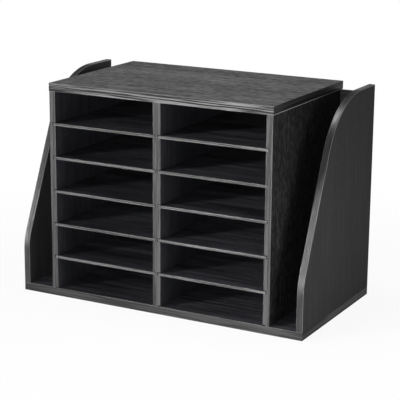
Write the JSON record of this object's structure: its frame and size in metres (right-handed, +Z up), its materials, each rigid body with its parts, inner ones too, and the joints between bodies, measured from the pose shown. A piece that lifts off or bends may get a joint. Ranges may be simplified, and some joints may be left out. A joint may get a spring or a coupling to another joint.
{
  "type": "literature organizer",
  "caption": "Black wood-grain desktop literature organizer: columns of sliding shelves between grooved uprights, with an open pocket and a curved wing panel at each side.",
  "frame": {"origin": "middle of the base board's underside, on the surface it stands on", "axes": "+X to the right seen from the front, +Y to the back, +Z up"},
  "size_m": [0.616, 0.317, 0.4302],
  "materials": {
    "board": "black wood-grain laminate, satin",
    "shelf_board": "black wood-grain laminate on thin board, satin",
    "back_board": "black wood-grain paper on thin board, matte",
    "edge_strip": "charcoal wood-grain edge strip, satin",
    "steel": "zinc-plated steel",
    "cast_zinc": "die-cast zinc, dull",
    "dowel_wood": "raw beech"
  },
  "bodies": {
    "cabinet": {"base_panel": "board", "top_panel": "board", "left_upright": "board", "centre_upright": "board", "right_upright": "board", "left_wing": "board", "right_wing": "board", "back_panel": "back_board", "base_front_edging": "edge_strip", "base_rear_edging": "edge_strip", "base_left_edging": "edge_strip", "base_right_edging": "edge_strip", "top_front_edging": "edge_strip", "top_rear_edging": "edge_strip", "top_left_edging": "edge_strip", "top_right_edging": "edge_strip", "left_upright_edging": "edge_strip", "centre_upright_edging": "edge_strip", "right_upright_edging": "edge_strip", "left_wing_edging": "edge_strip", "left_wing_rear_edging": "edge_strip", "right_wing_edging": "edge_strip", "right_wing_rear_edging": "edge_strip", "base_screws": "steel", "dowels": "dowel_wood", "cam_bolts": "steel", "cam_locks": "cast_zinc"},
    "left_shelf_1": {"left_shelf_1": "shelf_board", "left_shelf_1_edging": "edge_strip"},
    "left_shelf_2": {"left_shelf_2": "shelf_board", "left_shelf_2_edging": "edge_strip"},
    "left_shelf_3": {"left_shelf_3": "shelf_board", "left_shelf_3_edging": "edge_strip"},
    "left_shelf_4": {"left_shelf_4": "shelf_board", "left_shelf_4_edging": "edge_strip"},
    "left_shelf_5": {"left_shelf_5": "shelf_board", "left_shelf_5_edging": "edge_strip"},
    "right_shelf_1": {"right_shelf_1": "shelf_board", "right_shelf_1_edging": "edge_strip"},
    "right_shelf_2": {"right_shelf_2": "shelf_board", "right_shelf_2_edging": "edge_strip"},
    "right_shelf_3": {"right_shelf_3": "shelf_board", "right_shelf_3_edging": "edge_strip"},
    "right_shelf_4": {"right_shelf_4": "shelf_board", "right_shelf_4_edging": "edge_strip"},
    "right_shelf_5": {"right_shelf_5": "shelf_board", "right_shelf_5_edging": "edge_strip"}
  },
  "joints": [
    {"name": "left_shelf_1_slide", "type": "slide", "parent": "cabinet", "child": "left_shelf_1", "axis": [0, -1, 0], "range_m": [0, 0.28]},
    {"name": "left_shelf_2_slide", "type": "slide", "parent": "cabinet", "child": "left_shelf_2", "axis": [0, -1, 0], "range_m": [0, 0.28]},
    {"name": "left_shelf_3_slide", "type": "slide", "parent": "cabinet", "child": "left_shelf_3", "axis": [0, -1, 0], "range_m": [0, 0.28]},
    {"name": "left_shelf_4_slide", "type": "slide", "parent": "cabinet", "child": "left_shelf_4", "axis": [0, -1, 0], "range_m": [0, 0.28]},
    {"name": "left_shelf_5_slide", "type": "slide", "parent": "cabinet", "child": "left_shelf_5", "axis": [0, -1, 0], "range_m": [0, 0.28]},
    {"name": "right_shelf_1_slide", "type": "slide", "parent": "cabinet", "child": "right_shelf_1", "axis": [0, -1, 0], "range_m": [0, 0.28]},
    {"name": "right_shelf_2_slide", "type": "slide", "parent": "cabinet", "child": "right_shelf_2", "axis": [0, -1, 0], "range_m": [0, 0.28]},
    {"name": "right_shelf_3_slide", "type": "slide", "parent": "cabinet", "child": "right_shelf_3", "axis": [0, -1, 0], "range_m": [0, 0.28]},
    {"name": "right_shelf_4_slide", "type": "slide", "parent": "cabinet", "child": "right_shelf_4", "axis": [0, -1, 0], "range_m": [0, 0.28]},
    {"name": "right_shelf_5_slide", "type": "slide", "parent": "cabinet", "child": "right_shelf_5", "axis": [0, -1, 0], "range_m": [0, 0.28]}
  ]
}
